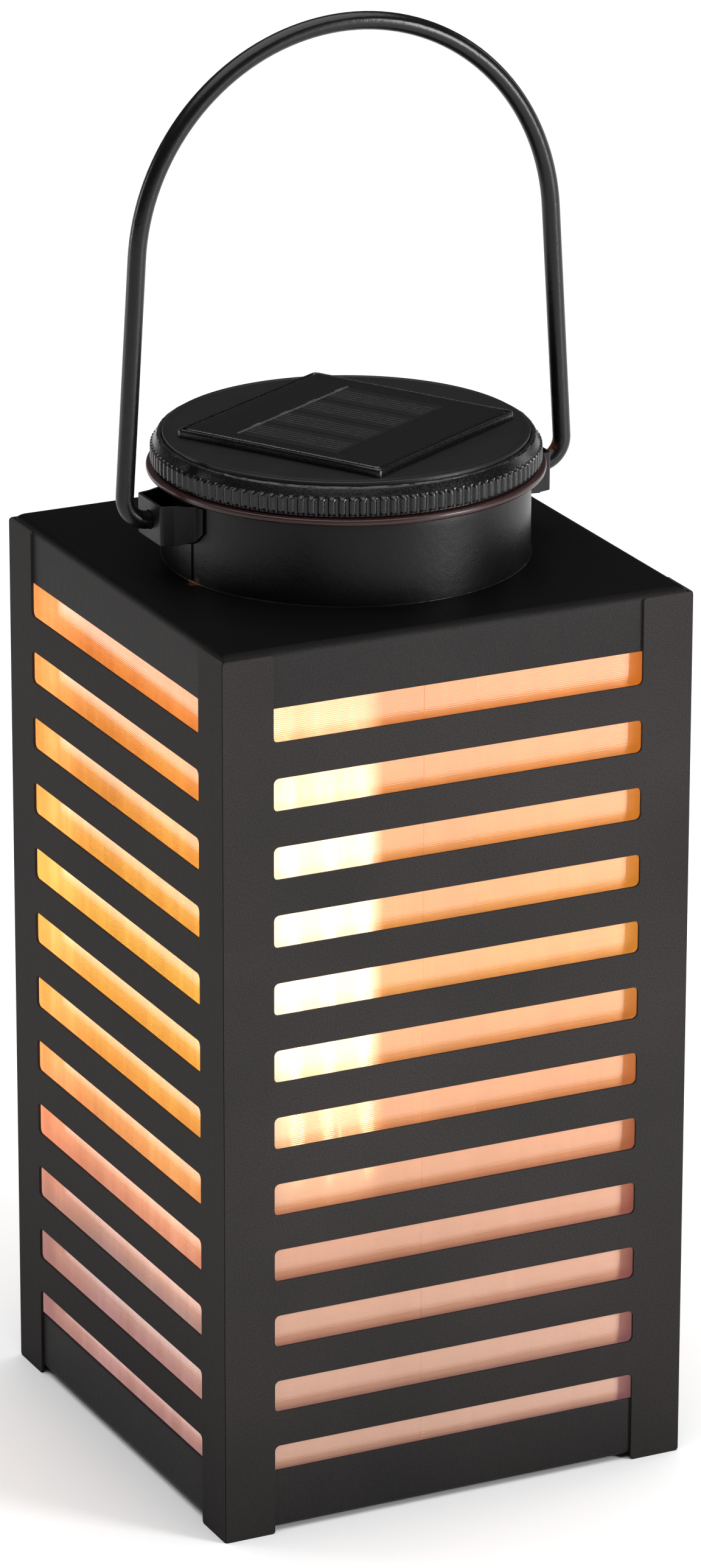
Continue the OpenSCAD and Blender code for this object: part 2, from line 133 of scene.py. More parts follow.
def fillet(points, radii, steps=4):
    """A closed outline with its corners rounded. radii has one value for each point."""
    out = []
    n = len(points)
    for i, (p, r) in enumerate(zip(points, radii)):
        p = Vector(p)
        if r <= 0:
            out.append(p)
            continue
        a = (Vector(points[i - 1]) - p).normalized()
        b = (Vector(points[(i + 1) % n]) - p).normalized()
        half = a.angle(b) / 2
        cut = r / math.tan(half)
        centre = p + (a + b).normalized() * r / math.sin(half)
        start = p + a * cut - centre
        end = p + b * cut - centre
        span = math.atan2(start.x * end.y - start.y * end.x, start.dot(end))
        for k in range(steps + 1):
            t = span * k / steps
            out.append(centre + Vector((start.x * math.cos(t) - start.y * math.sin(t),
                                        start.x * math.sin(t) + start.y * math.cos(t))))
    return out


def lathe(name, profile, n=192, shape=None, sharp=SHARP):
    """A closed profile of (radius, height) turned about the vertical.

    shape(r, z, angle) may move a point.
    """
    loops = []
    for r, z in profile:
        loop = []
        for k in range(n):
            a = TURN * k / n
            rr, zz = shape(r, z, a) if shape else (r, z)
            loop.append((rr * math.cos(a), rr * math.sin(a), zz))
        loops.append(loop)
    return stack(name, loops, closed=True, sharp=sharp)


def square_loop(half, radius, z, sides=6, arc=5):
    """A level loop of points round a square with rounded corners."""
    pts = []
    flat = half - radius
    for quarter in range(4):
        turn = quarter * TURN / 4
        row = []
        for k in range(sides):
            row.append((half, -flat + 2 * flat * k / sides))
        for k in range(arc):
            a = TURN / 4 * k / arc
            row.append((flat + radius * math.cos(a), flat + radius * math.sin(a)))
        for x, y in row:
            c, s = math.cos(turn), math.sin(turn)
            pts.append((x * c - y * s, x * s + y * c, z))
    return pts


def circle_like(loop, radius, z):
    """Points on a circle, in the same directions as the points of loop."""
    out = []
    for p in loop:
        a = math.atan2(p[1], p[0])
        out.append((radius * math.cos(a), radius * math.sin(a), z))
    return out


def filled(name, outer, holes, thickness, bevel, shear):
    """A flat sheet in X and Z, from y = 0 to y = thickness, with holes and softened edges.

    shear(x) gives the place of a point on the inner face.
    """
    bm = bmesh.new()
    for outline in [outer] + holes:
        row = [bm.verts.new((p[0], 0, p[1])) for p in outline]
        for i, v in enumerate(row):
            bm.edges.new((v, row[(i + 1) % len(row)]))
    bmesh.ops.triangle_fill(bm, use_beauty=True, edges=bm.edges[:], normal=(0, -1, 0))
    bmesh.ops.dissolve_limit(bm, angle_limit=0.01, verts=bm.verts[:], edges=bm.edges[:])
    grown = bmesh.ops.extrude_face_region(bm, geom=bm.faces[:])
    for v in grown["geom"]:
        if isinstance(v, bmesh.types.BMVert):
            v.co.y = thickness
            v.co.x = shear(v.co.x)
    bmesh.ops.recalc_face_normals(bm, faces=bm.faces[:])
    mesh = bpy.data.meshes.new(name)
    bm.to_mesh(mesh)
    bm.free()
    return soften(finished_object(name, mesh), bevel)


def soften(obj, width, angle=30):
    """Bevel the sharp edges and keep flat faces flat."""
    bevel = obj.modifiers.new("soft_edges", "BEVEL")
    bevel.width = width
    bevel.segments = 2
    bevel.limit_method = "ANGLE"
    bevel.angle_limit = math.radians(angle)
    bevel.harden_normals = True
    return obj


def baked(obj):
    """The object with its modifiers made part of its mesh."""
    mesh = bpy.data.meshes.new_from_object(
        obj.evaluated_get(bpy.context.evaluated_depsgraph_get()))
    obj.modifiers.clear()
    obj.data = mesh
    return obj


def cut_away(obj, cutter):
    """Take the cutter's shape out of the object, before its soft edges, and bake the result."""
    cut = obj.modifiers.new("opening", "BOOLEAN")
    cut.object = cutter
    cut.solver = "EXACT"
    obj.modifiers.move(len(obj.modifiers) - 1, 0)
    baked(obj)
    bpy.data.objects.remove(cutter)
    return obj


def inside_box(obj):
    """Bake a panel's soft edges and hold them within its sheet."""
    for v in baked(obj).data.vertices:
        v.co = (min(max(v.co.x, -HALF), HALF), max(v.co.y, 0.0), max(v.co.z, 0.0))
    return obj


def tube(name, points, radius, sides=24, swell=None):
    """A round bar swept along points, with closed ends. swell scales the radius at each point."""
    loops = []
    pts = [Vector(p) for p in points]
    side = None
    for i, p in enumerate(pts):
        ahead = (pts[min(i + 1, len(pts) - 1)] - pts[max(i - 1, 0)]).normalized()
        if side is None:
            side = ahead.orthogonal().normalized()
        side = (side - ahead * side.dot(ahead)).normalized()
        up = ahead.cross(side)
        r = radius * (swell[i] if swell else 1)
        turns = [TURN * k / sides for k in range(sides)]
        loops.append([p + (side * math.cos(a) + up * math.sin(a)) * r for a in turns])
    return stack(name, loops, capped=True, sharp=math.radians(60))


def joined(name, objs):
    """Several mesh objects as one."""
    bm = bmesh.new()
    for o in objs:
        part = o.data.copy()
        part.transform(o.matrix_world)
        bm.from_mesh(part)
    mesh = bpy.data.meshes.new(name)
    bm.to_mesh(mesh)
    bm.free()
    for o in objs:
        bpy.data.objects.remove(o)
    return finished_object(name, mesh)


# ---------------------------------------------------------------- materials

def new_material(name):
    """A new material, its node tree and its Principled shader."""
    mat = bpy.data.materials.new(name)
    mat.use_nodes = True
    tree = mat.node_tree
    return mat, tree, tree.nodes["Principled BSDF"]


def feed(tree, node, inputs):
    """Give a node its inputs: sockets are linked and plain values are set."""
    for key, value in inputs.items():
        if isinstance(value, bpy.types.NodeSocket):
            tree.links.new(value, node.inputs[key])
        else:
            node.inputs[key].default_value = value


def add(tree, kind, inputs=None, **settings):
    node = tree.nodes.new(kind)
    for key, value in settings.items():
        setattr(node, key, value)
    feed(tree, node, inputs or {})
    return node


def coords(tree):
    """The place of a point on the object, in metres."""
    return add(tree, "ShaderNodeTexCoord").outputs["Object"]


def along(tree, axis):
    """How far a point lies along one axis."""
    return add(tree, "ShaderNodeSeparateXYZ", {"Vector": coords(tree)}).outputs[axis]


def between(tree, value, start, end):
    """0 up to start, 1 from end on, and even between them."""
    return add(tree, "ShaderNodeMapRange",
               {"Value": value, "From Min": start, "From Max": end}).outputs["Result"]


def grain(tree, scale, detail=3.0, roughness=0.5, vector=None):
    """Noise from 0 to 1. vector may hold stretched coordinates."""
    return add(tree, "ShaderNodeTexNoise",
               {"Vector": vector or coords(tree), "Scale": scale, "Detail": detail,
                "Roughness": roughness}).outputs["Fac"]


def ramp(tree, fac, stops):
    """Colours along a value. stops are (place, (r, g, b))."""
    node = add(tree, "ShaderNodeValToRGB", {"Fac": fac})
    elements = node.color_ramp.elements
    while len(elements) > 1:
        elements.remove(elements[-1])
    for i, (place, colour) in enumerate(stops):
        e = elements[0] if i == 0 else elements.new(place)
        e.position = place
        e.color = (*colour, 1)
    return node.outputs["Color"]


def greys(stops):
    """Stops of (place, value) as grey colours for a ramp."""
    return [(place, (value,) * 3) for place, value in stops]


def math_node(tree, operation, a, b, c=0.0):
    """One sum with two or three values."""
    return add(tree, "ShaderNodeMath", {0: a, 1: b, 2: c}, operation=operation).outputs[0]


def mix_colour(tree, fac, a, b, blend="MIX"):
    """Two colours mixed. b may be a plain colour."""
    if isinstance(b, tuple):
        b = (*b, 1)
    return add(tree, "ShaderNodeMix", {0: fac, 6: a, 7: b}, data_type="RGBA",
               blend_type=blend).outputs[2]


def scaled(tone, share):
    return tuple(share * c for c in tone)


def bump(tree, height, strength, distance, normal=None):
    inputs = {"Height": height, "Strength": strength, "Distance": distance}
    if normal:
        inputs["Normal"] = normal
    return add(tree, "ShaderNodeBump", inputs).outputs["Normal"]


def powder_coat(name, tone, rough=0.47, gloss=0.14, rust_at=None, levels=None):
    """Matte black powder coat: a fine grain, faint orange peel and a few dull patches.

    levels is a list of (height, share of the tone): painted shade that darkens the coat up or down
    the body.
    """
    mat, tree, bsdf = new_material(name)
    speck = grain(tree, 2600, 2.0)
    peel = grain(tree, 420, 2.0)
    patch = grain(tree, 16, 3.0)
    colour = ramp(tree, speck, [(0.3, scaled(tone, 0.72)), (0.52, tone),
                                (0.75, scaled(tone, 1.3))])
    shade = ramp(tree, patch, [(0.3, (0.86, 0.86, 0.86)), (0.7, (1.1, 1.08, 1.06))])
    colour = mix_colour(tree, 1.0, colour, shade, "MULTIPLY")
    # Painted shade by height: the coat is made darker where the levels say.
    if levels:
        low, high = levels[0][0], levels[-1][0]
        shade = ramp(tree, between(tree, along(tree, "Z"), low, high),
                     greys([((z - low) / (high - low), share) for z, share in levels]))
        colour = mix_colour(tree, 1.0, colour, shade, "MULTIPLY")
    if rust_at:
        colour = rusted(tree, colour, rust_at)
    fine = bump(tree, speck, 0.35, 0.09 * MM)
    feed(tree, bsdf, {
        "Base Color": colour,
        "Roughness": math_node(tree, "MULTIPLY_ADD", patch, 0.16, rough - 0.08),
        "Normal": bump(tree, peel, 0.25, 0.22 * MM, fine),
        "Specular IOR Level": gloss})
    return mat


RUST_BROWN = (0.07, 0.026, 0.012)


def rusted(tree, colour, spots):
    """Brown rust round each (place, radius) in spots, broken up by noise."""
    place = coords(tree)
    for spot, radius in spots:
        away = add(tree, "ShaderNodeVectorMath", {0: place, 1: spot},
                   operation="DISTANCE").outputs["Value"]
        near = between(tree, away, radius, 0.0)
        broken = math_node(tree, "MULTIPLY", near, grain(tree, 1500, 3.0))
        mask = between(tree, broken, 0.18, 0.34)
        colour = mix_colour(tree, mask, colour, RUST_BROWN)
    return colour


def plastic(name, tone, rough, grain_scale, grain_depth, gloss=0.4, streak=0.0):
    """Moulded plastic or paint with an etched grain, and rub marks if streak is set."""
    mat, tree, bsdf = new_material(name)
    etched = grain(tree, grain_scale, 4.0, 0.6)
    cloud = grain(tree, 60, 3.0)
    colour = ramp(tree, cloud, [(0.3, scaled(tone, 0.8)), (0.7, scaled(tone, 1.25))])
    if streak:
        rub = grain(tree, 350, 5.0, 0.7)
        marks = add(tree, "ShaderNodeMapRange",
                    {"Value": rub, "From Min": 0.58, "From Max": 0.75, "To Max": streak})
        colour = mix_colour(tree, marks.outputs["Result"], colour, (0.2, 0.19, 0.18))
    feed(tree, bsdf, {
        "Base Color": colour,
        "Roughness": ramp(tree, etched, greys([(0.35, rough - 0.08), (0.7, rough + 0.1)])),
        "Normal": bump(tree, etched, 0.5, grain_depth),
        "Specular IOR Level": gloss})
    return mat


def metal(name, tone, rough):
    """Plain bright metal with drawn scratches."""
    mat, tree, bsdf = new_material(name)
    stretched = add(tree, "ShaderNodeMapping", {"Vector": coords(tree), "Scale": (1, 1, 0.08)})
    lines = grain(tree, 900, 4.0, 0.6, stretched.outputs["Vector"])
    feed(tree, bsdf, {
        "Base Color": ramp(tree, lines, [(0.3, scaled(tone, 0.75)), (0.7, tone)]),
        "Roughness": ramp(tree, lines, greys([(0.3, rough - 0.06), (0.7, rough + 0.1)])),
        "Metallic": 1.0})
    return mat


# Where the film's painted glow changes, each from the first place to the second.
LAMP_SIDE_X = (FILM[0].x + 9 * MM, FILM[0].x + 2 * MM)
BACK_EDGE_Y = (25 * MM, 50 * MM)
HOT_FRONT_Y = (-55 * MM, -61 * MM)
HOT_LEFT_X = (-21 * MM, -27 * MM)


def film_glow(tree):
    """The painted glow by height: dim pink at the foot, orange above, brighter to the left.

    lamp_side is for the left face, warmer along its back edge, and open_side for the others.
    hot lifts the left of the front, where the photo is brightest.
    """
    h = between(tree, along(tree, "Z"), FILM[0].z, FILM[1].z)
    open_side = ramp(tree, h, [(0.0, (0.08, 0.04, 0.055)), (0.12, (0.07, 0.035, 0.05)),
                               (0.3, (0.1, 0.035, 0.035)), (0.45, (0.2, 0.07, 0.02)),
                               (0.62, (0.24, 0.11, 0.01)), (1.0, (0.22, 0.05, 0.0))])
    lamp_side = ramp(tree, h, [(0.0, (0.24, 0.15, 0.16)), (0.11, (0.26, 0.16, 0.18)),
                               (0.2, (0.22, 0.17, 0.18)), (0.27, (0.4, 0.19, 0.15)),
                               (0.36, (0.48, 0.22, 0.08)), (0.45, (0.5, 0.24, 0.04)),
                               (0.6, (0.5, 0.28, 0.04)), (0.78, (0.44, 0.19, 0.03)),
                               (1.0, (0.42, 0.1, 0.02))])
    back_edge = between(tree, along(tree, "Y"), *BACK_EDGE_Y)
    warm_edge = ramp(tree, h, [(0.1, (0.0, 0.0, 0.0)), (0.35, (0.3, 0.12, 0.06)),
                               (0.6, (0.36, 0.2, 0.08)), (1.0, (0.32, 0.12, 0.06))])
    lamp_side = mix_colour(tree, back_edge, lamp_side, warm_edge, "ADD")
    near_lamp = between(tree, along(tree, "X"), *LAMP_SIDE_X)
    glow = mix_colour(tree, near_lamp, open_side, lamp_side)
    front = between(tree, along(tree, "Y"), *HOT_FRONT_Y)
    left = between(tree, along(tree, "X"), *HOT_LEFT_X)
    patch = math_node(tree, "MULTIPLY", front, left)
    hot = ramp(tree, h, [(0.36, (0.0, 0.0, 0.0)), (0.48, (0.16, 0.22, 0.16)),
                         (0.56, (0.3, 0.5, 0.5)), (0.8, (0.3, 0.5, 0.5)),
                         (0.9, (0.16, 0.24, 0.2)), (1.0, (0.1, 0.1, 0.05))])
    return mix_colour(tree, patch, glow, hot, "ADD")


def film_material():
    """Clear ribbed film with a hard coat, a soft cloudy tint and a painted glow, with soft clouds
    and painted upright lines of light in the glow.
    """
    mat, tree, bsdf = new_material("diffuser_film")
    glow = film_glow(tree)
    cloud = grain(tree, 14, 2.0)
    glow = mix_colour(tree, 1.0, glow,
                      ramp(tree, cloud, [(0.3, (0.9, 0.86, 0.84)), (0.7, (1.1, 1.12, 1.1))]),
                      "MULTIPLY")
    # Painted upright lines of light across the glow.
    light_streak_space = add(tree, "ShaderNodeMapping", {"Vector": coords(tree), "Scale": (1, 1, 0.06)})
    streak = grain(tree, 190, 3.0, 0.6, light_streak_space.outputs["Vector"])
    glow = mix_colour(tree, 1.0, glow,
                      ramp(tree, streak, [(0.38, (0.93, 0.9, 0.88)), (0.66, (1.08, 1.14, 1.2))]),
                      "MULTIPLY")
    feed(tree, bsdf, {
        "Emission Color": glow, "Emission Strength": 1.0,
        "Base Color": ramp(tree, cloud, [(0.3, (0.67, 0.41, 0.23)), (0.7, (0.71, 0.45, 0.26))]),
        "Roughness": 0.02, "Transmission Weight": 0.52, "IOR": 1.5,
        "Coat Weight": 1.0, "Coat Roughness": 0.03, "Coat IOR": 1.5})
    return mat


def clear_plastic(name, tone, rough, through):
    """Smoky see-through plastic or glass. through is the share of light let in."""
    mat, tree, bsdf = new_material(name)
    haze = grain(tree, 90, 2.0)
    feed(tree, bsdf, {
        "Base Color": ramp(tree, haze, [(0.3, scaled(tone, 0.9)), (0.7, tone)]),
        "Roughness": ramp(tree, haze, greys([(0.3, rough), (0.75, rough + 0.06)])),
        "Transmission Weight": through, "IOR": 1.4})
    return mat


def glowing(name, tone, strength):
    """A lit filament with a slight unevenness."""
    mat, tree, bsdf = new_material(name)
    dots = grain(tree, 700, 2.0)
    colour = ramp(tree, dots, [(0.3, scaled(tone, 0.85)), (0.7, tone)])
    feed(tree, bsdf, {"Base Color": colour, "Emission Color": colour,
                      "Emission Strength": strength, "Roughness": 0.3})
    return mat


def lamp_glass():
    """Warm clear glass with a faint painted glow, strongest at mid height."""
    mat, tree, bsdf = new_material("bulb_glass")
    level = between(tree, along(tree, "Z"), GLASS[0].z, GLASS[1].z)
    halo = ramp(tree, level,
                [(0.0, (0.5, 0.26, 0.07)), (0.2, (0.9, 0.5, 0.15)), (0.5, (1.0, 0.62, 0.22)),
                 (0.85, (0.9, 0.5, 0.15)), (1.0, (0.3, 0.15, 0.04))])
    smoke = grain(tree, 120, 2.0)
    tint = ramp(tree, smoke, [(0.3, (0.98, 0.9, 0.76)), (0.7, (1.0, 0.94, 0.84))])
    feed(tree, bsdf, {"Base Color": tint, "Emission Color": halo, "Emission Strength": 0.5,
                      "Roughness": 0.03, "Transmission Weight": 0.96, "IOR": 1.45})
    return mat


def resin():
    """Clear dark resin over the cells: a hard gloss with a soft unevenness."""
    mat, tree, bsdf = new_material("clear_coat")
    swell = grain(tree, 45, 2.0)
    dust = grain(tree, 2400, 2.0)
    feed(tree, bsdf, {
        "Base Color": ramp(tree, dust, [(0.6, (0.012, 0.012, 0.014)), (0.8, (0.05, 0.05, 0.05))]),
        "Roughness": ramp(tree, swell, greys([(0.3, 0.09), (0.7, 0.17)])),
        "Normal": bump(tree, swell, 0.25, 0.12 * MM),
        "Alpha": 0.45, "Specular IOR Level": 0.8})
    return mat


# Rust as (place, radius): at the collar's foot beside the seam, and on the handle's foot bends.
RUST_X, RUST_Y = -50.2 * MM, -9.8 * MM
RUST_FOOT = [((RUST_X, RUST_Y, PLATE_Z + 0.3 * MM), 3.2 * MM)]
RUST_WELD = [((RUST_X, RUST_Y, PLATE_Z), 6 * MM)]
BEND_X = 62.5 * MM
RUST_BEND = [((BEND_X, 0, PIVOT_Z + 4.6 * MM), 3.6 * MM), ((-BEND_X, 0, PIVOT_Z - MM), 2 * MM)]

# Painted shade as (height, share of the tone): darker at the foot, and on the plate, to match the
# light in the photo.
FOOT_PAINTED_SHADE = [(0.0, 0.6), (90 * MM, 1.0), (PLATE_Z, 1.0)]
PLATE_PAINTED_SHADE = [(0.0, 0.6), (50 * MM, 1.0), (PLATE_Z - 2.4 * MM, 1.0), (PLATE_Z - 0.4 * MM, 0.12)]

black_sheet = powder_coat("black_sheet", (0.033, 0.0305, 0.03), gloss=0.012, levels=FOOT_PAINTED_SHADE)
black_cap = powder_coat("black_cap", (0.027, 0.0258, 0.0255), 0.42, 0.03, RUST_FOOT, PLATE_PAINTED_SHADE)
black_collar = powder_coat("black_collar", (0.003, 0.0028, 0.0028), 0.35, 0.2, RUST_FOOT)
black_wire = powder_coat("black_wire", (0.004, 0.0037, 0.0036), 0.25, 0.3, RUST_BEND)
weld_bead = powder_coat("weld_bead", (0.006, 0.0055, 0.005), 0.36, 0.2, RUST_WELD)
black_grip = plastic("black_grip", (0.0025, 0.0025, 0.0025), 0.24, 1500, 0.08 * MM, 0.36)
black_disc = plastic("black_disc", (0.0055, 0.0055, 0.0055), 0.42, 2600, 0.05 * MM, 0.2)
sealant = plastic("sealant", (0.007, 0.007, 0.0068), 0.28, 500, 0.1 * MM, 0.4, streak=0.05)
clear_cup = clear_plastic("clear_cup", (0.05, 0.018, 0.018), 0.28, 0.45)
diffuser_film = film_material()
filament = glowing("filament", (1.0, 0.88, 0.74), 170)
bulb_glass = lamp_glass()
clear_coat = resin()


# ---------------------------------------------------------------- body

SLOT_H = 9.3 * MM
SLOT_PITCH = 19.3 * MM
SLOT_COUNT = 12
FIRST_SLOT_Z = CAP[0].z  # top edge of the highest slot
POST_W = 15 * MM
SLOT_R = 1.5 * MM


def side_panel(name, turn):
    """One slotted side: the outline runs round both posts and the open ends of the window."""
    w = HALF - POST_W
    top = PANEL[1].z
    open_top = FIRST_SLOT_Z - SLOT_H
    open_low = FIRST_SLOT_Z - (SLOT_COUNT - 1) * SLOT_PITCH
    toe = 0.9 * MM
    bevel = 0.27 * MM
    edge = HALF - 0.14 * MM
    end_lap = 0.34 * MM
    outer = fillet([(-edge, 0), (-w, 0), (-w, open_low), (w, open_low), (w, 0), (edge, 0),
                    (edge, top), (w, top), (w, open_top), (-w, open_top), (-w, top), (-edge, top)],
                   [toe, toe, SLOT_R, SLOT_R, toe, toe, toe, toe, SLOT_R, SLOT_R, toe, toe])
    holes = []
    for i in range(1, SLOT_COUNT - 1):
        high = FIRST_SLOT_Z - i * SLOT_PITCH
        low = high - SLOT_H
        holes.append(fillet([(-w, low), (w, low), (w, high), (-w, high)], [SLOT_R] * 4))

    def mitre(x):
        """The slanted ends lap a little, so that no light comes through the corner."""
        if abs(x) < HALF - SHEET:
            return x
        return math.copysign(abs(x) - SHEET + end_lap, x)

    obj = inside_box(filled(name, outer, holes, SHEET, bevel, mitre))
    obj.data.transform(Matrix.Rotation(turn, 4, "Z") @ Matrix.Translation((0, -HALF, 0)))
    return obj


def pan_loops(low_z, high_z):
    """Loops over a folded pan, web at the bottom: inside first, then over the rim, then outside."""
    half = CAP[1].x
    bend = 2.5 * MM
    inner = bend - SHEET
    corner = 1.1 * MM
    outer_corner = corner + 0.6 * MM
    web = 8 * MM
    loops = []

    def ring(h, z, c):
        loops.append(square_loop(h, c, z))

    ring(half - SHEET - inner - web, low_z + SHEET, corner)
    for k in range(5):
        a = TURN / 4 * k / 4
        ring(half - bend + inner * math.sin(a), low_z + bend - inner * math.cos(a), corner)
    ring(half - SHEET, high_z - 0.25 * MM, corner)
    ring(half - SHEET + 0.12 * MM, high_z - 0.02 * MM, corner)
    ring(half - 0.2 * MM, high_z, corner)
    ring(half, high_z - 0.25 * MM, outer_corner)
    for k in range(8, -1, -1):
        a = TURN / 4 * k / 8
        ring(half - bend + bend * math.sin(a), low_z + bend - bend * math.cos(a), outer_corner)
    ring(half - bend - web, low_z, corner)
    return loops


def base_pan():
    loops = pan_loops(PAN[0].z, PAN[1].z)
    return stack("base_pan_skin", loops, capped=True)


def top_cap():
    """The pan turned over, with its round mouth."""
    loops = pan_loops(0, CAP[1].z - CAP[0].z)
    loops = [[(x, -y, CAP[1].z - z) for x, y, z in loop] for loop in loops]
    mouth = 49 * MM
    lip = 0.15 * MM
    under, over = PLATE_Z - SHEET, PLATE_Z
    edge = [(mouth, over - lip), (mouth, under + lip), (mouth + lip, under), (mouth + lip, over)]
    edge = [circle_like(loops[0], r, z) for r, z in edge]
    return stack("top_cap_skin", edge[:3] + loops + edge[3:], closed=True)


for quarter, node in enumerate(["panel_front", "panel_right", "panel_back", "panel_left"]):
    rest_on(side_panel(node + "_sheet", quarter * TURN / 4), "housing", black_sheet, [node])
rest_on(base_pan(), "housing", black_cap, ["base_pan"])
rest_on(top_cap(), "housing", black_cap, ["top_cap"])


# ---------------------------------------------------------------- diffuser film

def film_sleeve():
    """A square tube of film, lapped over itself on the front.

    Deep level ribs inside spread the lamp's light up and down. The outside has only a trace of them.
    """
    half = FILM[1].x - 0.15 * MM
    low, high = FILM[0].z, FILM[1].z
    thick = 0.4 * MM
    lap_thick = 0.12 * MM
    rib = 0.55 * MM
    deep, faint = 0.15 * MM, 0.03 * MM
    steps = 4
    lap = (-9 * MM, 7 * MM)
    step = 0.05 * MM
    bend = 3 * MM
    flat = half - bend
    edge = [-4 * step, -step, step, 4 * step]
    stops = [-flat, -flat / 2] + [x + e for x in lap for e in edge] + [flat / 2, flat]

    def loop(inset, z, lapped):
        h = half - inset
        r = bend - inset
        pts = []
        for x in stops:
            out = lap_thick if lapped and lap[0] < x < lap[1] else 0.0
            pts.append((x, -h - out, z))
        for quarter, (sx, sy) in enumerate([(1, -1), (1, 1), (-1, 1), (-1, -1)]):
            for k in range(7):
                if quarter == 0 and k == 0 or quarter == 3 and k == 6:
                    continue
                a = TURN / 4 * (quarter - 1) + TURN / 4 * k / 6
                pts.append((sx * flat + r * math.cos(a), sy * flat + r * math.sin(a), z))
        return pts

    count = int((high - low) / rib) * steps
    waves = [(1 - math.cos(TURN * i / steps)) / 2 for i in range(count + 1)]
    inside = [loop(thick - deep * w, low + (high - low) * i / count, False)
              for i, w in enumerate(waves)]
    outside = [loop(faint * w, low + (high - low) * i / count, True)
               for i, w in enumerate(waves)]
    return stack("film_sleeve", inside + outside[::-1], closed=True, sharp=math.radians(60))


rest_on(film_sleeve(), "housing", diffuser_film, ["diffuser_sleeve"])


# ---------------------------------------------------------------- collar, weld and ears

SEAM = math.radians(189.5)
SEAM_HALF = 0.75 * MM / COLLAR_R


def collar():
    """Rolled strip with a narrow channel where its joggled ends meet."""
    inner = COLLAR_R - SHEET
    lip = 0.25 * MM
    unevenness = 0.06 * MM
    joggle = 0.5 * MM
    z0, z1 = COLLAR[0].z, COLLAR[1].z
    profile = [(inner, z0), (COLLAR_R, z0)]
    profile += [(COLLAR_R, z0 + (z1 - lip - z0) * k / 8) for k in range(1, 9)]
    profile += [(COLLAR_R - lip * (1 - math.cos(a)), z1 - lip + lip * math.sin(a))
                for a in (0.5, 1.0, TURN / 4)]
    profile += [(inner + 0.1 * MM, z1), (inner, z1 - 0.1 * MM)]
    cuts = [-3.2, -1.25, -1.0, 1.0, 1.25, 3.2]
    angles = [TURN * k / 180 + SEAM for k in range(4, 177)]
    angles += [SEAM + TURN + c * SEAM_HALF for c in cuts]
    loops = []
    for r, z in profile:
        loop = []
        for a in angles:
            off = abs((a - SEAM + math.pi) % TURN - math.pi)
            rr = r
            if r > inner + lip:
                wave = noise.noise(Vector((math.cos(a) * 3, math.sin(a) * 3, z * 60)))
                rr = r + unevenness * (wave - 1)
                if off < 1.1 * SEAM_HALF:
                    rr = min(r, COLLAR_R - joggle)
            loop.append((rr * math.cos(a), rr * math.sin(a), z))
        loops.append(loop)
    return stack("collar_band", loops, closed=True, sharp=math.radians(30))


def weld_line():
    """Fillet of weld round the collar's foot, in runs and dashes of uneven size."""
    n = 720
    sides = 8
    verts = []
    for i in range(n):
        a = TURN * i / n
        along = Vector((math.cos(a) * 9, math.sin(a) * 9, 0.3))
        lump = 0.5 + 0.5 * noise.noise(along * 3.1)
        run = max(0.0, noise.noise(along * 0.45) + 0.35)
        near_seam = math.exp(-((a - SEAM) / 0.06) ** 2)
        size = (0.1 + 0.36 * lump * min(1.0, run * 1.6) + 0.4 * near_seam * lump) * MM
        for k in range(sides):
            t = TURN * k / sides
            r = COLLAR_R + 0.05 * MM + size * math.cos(t)
            z = PLATE_Z + 0.02 * MM + size * 0.85 * math.sin(t)
            verts.append((r * math.cos(a), r * math.sin(a), z))
    loops = [[verts[i * sides + k] for i in range(n)] for k in range(sides)]
    return stack("weld_line", loops, closed=True)


def ear_outline(reach, foot, width, wing):
    """Plan of a folded ear on the +X side, as one closed strip outline."""
    r = COLLAR_R
    t = SHEET
    out = r + t
    right = [(out * math.cos(a), out * math.sin(a))
             for a in np.linspace(wing, foot + 0.02, 6)]
    hat_out = [(reach - 3.6 * MM, width / 2 + 0.8 * MM), (reach, width / 2)]
    right_in = [(r * math.cos(a), r * math.sin(a)) for a in np.linspace(wing, foot - 0.005, 6)]
    hat_in = [(reach - 3.8 * MM, width / 2 - 0.1 * MM), (reach - t, width / 2 - t)]
    outer = right + hat_out
    inner = right_in + hat_in
    outer += [(x, -y) for x, y in reversed(outer)]
    inner += [(x, -y) for x, y in reversed(inner)]
    outline = outer + inner[::-1]
    radii = [0] * len(outline)
    n = len(right)
    radii[n], radii[n + 1] = 1.6 * MM, 1.1 * MM
    radii[n + 2], radii[n + 3] = 1.1 * MM, 1.6 * MM
    m = len(outer)
    radii[m + n], radii[m + n + 1] = 0.7 * MM, 0.35 * MM
    radii[m + n + 2], radii[m + n + 3] = 0.35 * MM, 0.7 * MM
    return fillet(outline, radii, 4)


def ear(name, flip):
    """One ear with its bore. The wings' lower edges rise towards their tips."""
    foot, wing = math.radians(11), math.radians(15.5)
    width, taper, bore = 15.2 * MM, 3.8 * MM, 2.62 * MM
    outline = ear_outline(EAR[1].x, foot, width, wing)

    def low_edge(p):
        past = (abs(math.atan2(p[1], p[0])) - foot) / (wing - foot)
        return EAR[0].z + taper * min(max(past, 0), 1)

    low = [(p[0], p[1], low_edge(p)) for p in outline]
    high = [(p[0], p[1], EAR[1].z) for p in outline]
    obj = soften(stack(name, [low, high], capped=True), 0.16 * MM)
    ends = [(EAR[1].x + end, 0, PIVOT_Z) for end in (-2 * MM, 2 * MM)]
    cut_away(obj, tube(name + "_cutter", ends, bore, 32))
    if flip:
        obj.data.transform(Matrix.Rotation(math.pi, 4, "Z"))
    return obj


rest_on(collar(), "housing", black_collar, ["collar"])
rest_on(weld_line(), "housing", weld_bead, ["collar_weld"])
rest_on(ear("ear_right_bracket", False), "housing", black_collar, ["ear_right"])
rest_on(ear("ear_left_bracket", True), "housing", black_collar, ["ear_left"])


# ---------------------------------------------------------------- handle

